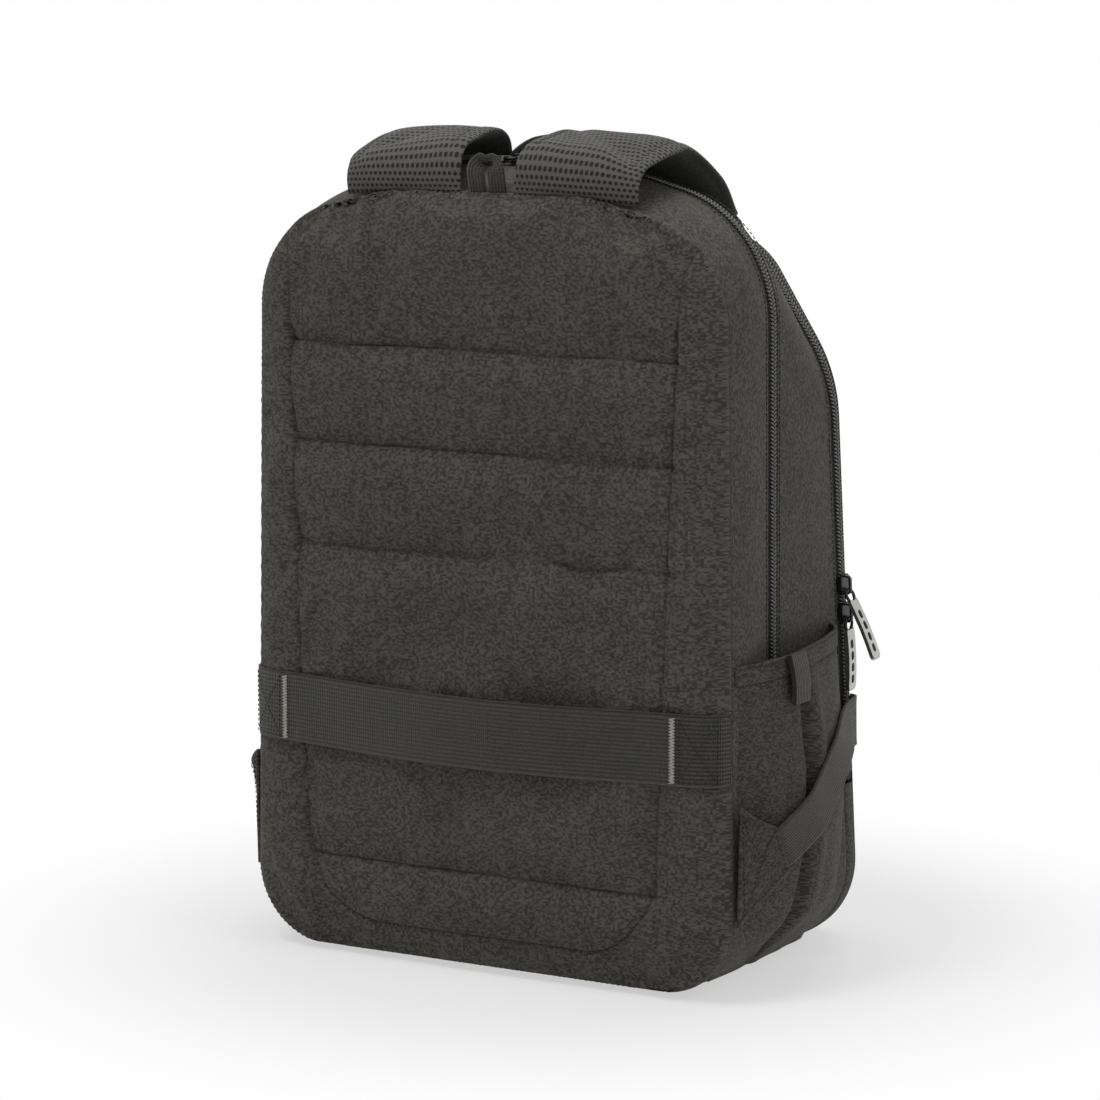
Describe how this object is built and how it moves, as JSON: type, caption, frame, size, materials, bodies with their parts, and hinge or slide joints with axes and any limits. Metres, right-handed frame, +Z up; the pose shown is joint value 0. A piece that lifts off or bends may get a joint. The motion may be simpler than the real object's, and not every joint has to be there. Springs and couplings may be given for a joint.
{
  "type": "school backpack",
  "caption": "Upright zipped school backpack with a quilted laptop back, trolley band, side pockets and padded mesh straps laid over its front.",
  "frame": {"origin": "middle of the flat base, on the face it stands on", "axes": "+Z up; the padded back faces -Y and the front pocket +Y; +X is to the right when looking at the padded back"},
  "size_m": [0.3638, 0.2164, 0.4775],
  "materials": {
    "polyester": "fine woven polyester, matt",
    "foam": "soft foam",
    "mesh": "spacer mesh",
    "webbing": "ribbed polyester webbing",
    "lining": "plain lining cloth",
    "zip_tape": "woven zip tape with nylon coil",
    "board": "polyethylene sheet",
    "black_metal": "black painted die-cast metal",
    "pale_metal": "satin silver pull",
    "black_plastic": "moulded acetal",
    "pale_thread": "pale zigzag stitching"
  },
  "bodies": {
    "bag": {"anchor_tab_left": "polyester", "anchor_tab_right": "polyester", "back_board": "board", "back_cover": "polyester", "back_lining": "lining", "back_padding": "foam", "band_bar_tacks": "pale_thread", "base_board": "board", "carry_handle": "webbing", "front_divider": "lining", "front_gusset": "polyester", "front_panel": "polyester", "front_pocket_zip_coil": "zip_tape", "front_pocket_zip_end_band": "polyester", "front_pocket_zip_tapes": "zip_tape", "ladder_lock_left": "black_plastic", "ladder_lock_right": "black_plastic", "laptop_divider": "lining", "laptop_zip_coil": "zip_tape", "laptop_zip_end_band": "polyester", "laptop_zip_tapes": "zip_tape", "lock_holder_left": "webbing", "lock_holder_right": "webbing", "lower_webbing_left": "webbing", "lower_webbing_right": "webbing", "main_zip_coil": "zip_tape", "main_zip_end_band": "polyester", "main_zip_lower_slider": "black_metal", "main_zip_tapes": "zip_tape", "middle_gusset": "polyester", "pocket_loop_left": "webbing", "pocket_loop_right": "webbing", "rear_gusset": "polyester", "side_pocket_left": "polyester", "side_pocket_right": "polyester", "strap_foam_left": "foam", "strap_foam_right": "foam", "strap_lining_left": "lining", "strap_lining_right": "lining", "strap_mesh_left": "mesh", "strap_mesh_right": "mesh", "trolley_band": "webbing", "webbing_tail_left": "webbing", "webbing_tail_right": "webbing"},
    "laptop_slider_left": {"laptop_zip_left_slider": "black_metal", "laptop_zip_left_ring": "black_metal", "laptop_zip_left_pull": "pale_metal"},
    "laptop_slider_right": {"laptop_zip_right_slider": "black_metal", "laptop_zip_right_ring": "black_metal", "laptop_zip_right_pull": "pale_metal"},
    "main_slider_upper": {"main_zip_upper_slider": "black_metal"},
    "main_pull_upper": {"main_zip_upper_ring": "black_metal", "main_zip_upper_pull": "pale_metal"},
    "main_pull_lower": {"main_zip_lower_ring": "black_metal", "main_zip_lower_pull": "pale_metal"},
    "pocket_slider": {"front_pocket_zip_slider": "black_metal"},
    "pocket_pull": {"front_pocket_zip_ring": "black_metal", "front_pocket_zip_pull": "pale_metal"},
    "hang_loop": {"hang_loop": "webbing"}
  },
  "joints": [
    {"name": "laptop_zip_left_slide", "type": "slide", "parent": "bag", "child": "laptop_slider_left", "axis": [-1, 0, 0], "range_m": [0, 0.034]},
    {"name": "laptop_zip_right_slide", "type": "slide", "parent": "bag", "child": "laptop_slider_right", "axis": [1, 0, 0], "range_m": [0, 0.034]},
    {"name": "main_zip_slide", "type": "slide", "parent": "bag", "child": "main_slider_upper", "axis": [-0.0026, -0.0993, 0.9951], "range_m": [0, 0.085]},
    {"name": "main_pull_upper_hinge", "type": "hinge", "parent": "main_slider_upper", "child": "main_pull_upper", "pos_m": [0.16113, 0.0295, 0.21544], "axis": [0, -0.9951, -0.0993], "range_deg": [0, 50]},
    {"name": "main_pull_lower_hinge", "type": "hinge", "parent": "bag", "child": "main_pull_lower", "pos_m": [0.16117, 0.03113, 0.19902], "axis": [0, -0.9951, -0.0993], "range_deg": [0, 16]},
    {"name": "front_pocket_zip_slide", "type": "slide", "parent": "bag", "child": "pocket_slider", "axis": [-0.0149, -0.0993, 0.9949], "range_m": [0, 0.07]},
    {"name": "front_pocket_pull_hinge", "type": "hinge", "parent": "pocket_slider", "child": "pocket_pull", "pos_m": [-0.15048, 0.04691, 0.22134], "axis": [0, 0.9951, 0.0993], "range_deg": [0, 75]},
    {"name": "hang_loop_hinge", "type": "hinge", "parent": "bag", "child": "hang_loop", "pos_m": [0, -0.099, 0.4441], "axis": [1, 0, 0], "range_deg": [-45, 10]}
  ]
}
